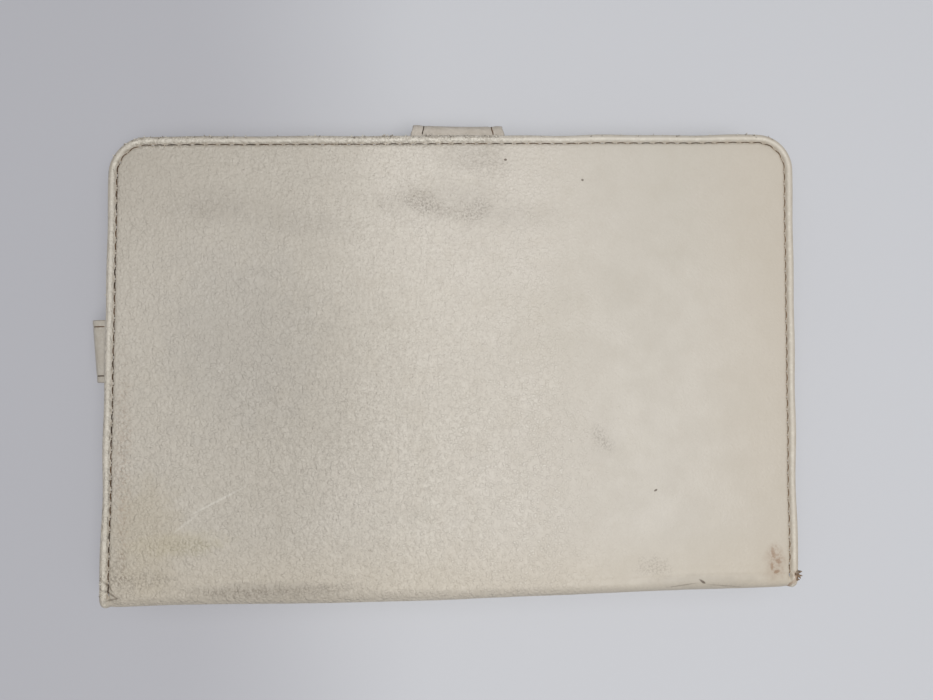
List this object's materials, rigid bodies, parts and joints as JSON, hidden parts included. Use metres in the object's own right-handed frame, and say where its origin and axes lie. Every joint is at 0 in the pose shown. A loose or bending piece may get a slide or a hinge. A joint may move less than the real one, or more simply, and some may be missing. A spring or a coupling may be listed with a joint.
{
  "type": "tablet case",
  "caption": "Folio case for a small tablet: two padded leather covers on a folding spine, a slide-in sleeve with a screen window, a magnetic closure strap and a tab over the sleeve's mouth.",
  "frame": {"origin": "centre of the front cover's outer face, which the closed case lies on", "axes": "+X along the spine, with the sleeve's mouth at -X; +Y from the spine to the closure edge; +Z from the front cover up to the back cover"},
  "size_m": [0.209, 0.1412, 0.0215],
  "materials": {
    "cover_leather": "satin",
    "strap_leather": "satin",
    "frame_leather": "satin",
    "lining": "matte",
    "thread": "matte",
    "foam": "matte",
    "board": "matte",
    "steel": "satin",
    "magnet": "satin",
    "hook_and_loop": "matte"
  },
  "bodies": {
    "front_cover": {"front_outer_leather": "cover_leather", "front_foam_padding": "foam", "front_stiffener_board": "board", "front_lining": "lining", "front_edge_stitching": "thread", "latch_steel_plate": "steel"},
    "spine": {"spine_outer_leather": "cover_leather", "spine_stiffener_board": "board", "spine_lining": "lining"},
    "back_cover": {"back_outer_leather": "cover_leather", "back_foam_padding": "foam", "back_stiffener_board": "board", "back_lining": "lining", "back_edge_stitching": "thread", "strap_root_tail": "strap_leather", "sleeve_tab_root_tail": "strap_leather", "sleeve_frame_leather": "frame_leather", "sleeve_frame_board": "board", "sleeve_frame_liner": "lining", "sleeve_window_stitching": "thread", "sleeve_outer_stitching": "thread", "sleeve_wall_closure_side": "frame_leather", "sleeve_wall_spine_side": "frame_leather", "sleeve_wall_far_end": "frame_leather", "sleeve_loop_patch": "hook_and_loop"},
    "closure_strap": {"strap_outer_leather": "strap_leather", "strap_inner_leather": "strap_leather", "strap_stitching": "thread"},
    "strap_end": {"strap_end_outer_leather": "strap_leather", "strap_end_inner_leather": "strap_leather", "strap_end_magnets": "magnet", "strap_end_stitching": "thread"},
    "sleeve_tab": {"sleeve_tab_leather": "strap_leather", "sleeve_tab_backing": "lining", "sleeve_tab_hook_patch": "hook_and_loop", "sleeve_tab_stitching": "thread"}
  },
  "joints": [
    {"name": "front_fold", "type": "hinge", "parent": "front_cover", "child": "spine", "pos_m": [0, -0.0675, 0.001], "axis": [1, 0, 0], "range_deg": [0, 90]},
    {"name": "back_fold", "type": "hinge", "parent": "spine", "child": "back_cover", "pos_m": [0, -0.0675, 0.0205], "axis": [1, 0, 0], "range_deg": [0, 90]},
    {"name": "strap_swing", "type": "hinge", "parent": "back_cover", "child": "closure_strap", "pos_m": [0.0001, 0.0698, 0.0185], "axis": [1, 0, 0], "range_deg": [0, 90]},
    {"name": "strap_end_fold", "type": "hinge", "parent": "closure_strap", "child": "strap_end", "pos_m": [0.0001, 0.0717, 0.001], "axis": [1, 0, 0], "range_deg": [0, 90]},
    {"name": "sleeve_tab_swing", "type": "hinge", "parent": "back_cover", "child": "sleeve_tab", "pos_m": [-0.1031, 0.0058, 0.016], "axis": [0, 1, 0], "range_deg": [0, 90]}
  ],
  "couplings": [
    {"joint": "strap_end_fold", "follows": "strap_swing", "ratio": 1}
  ]
}
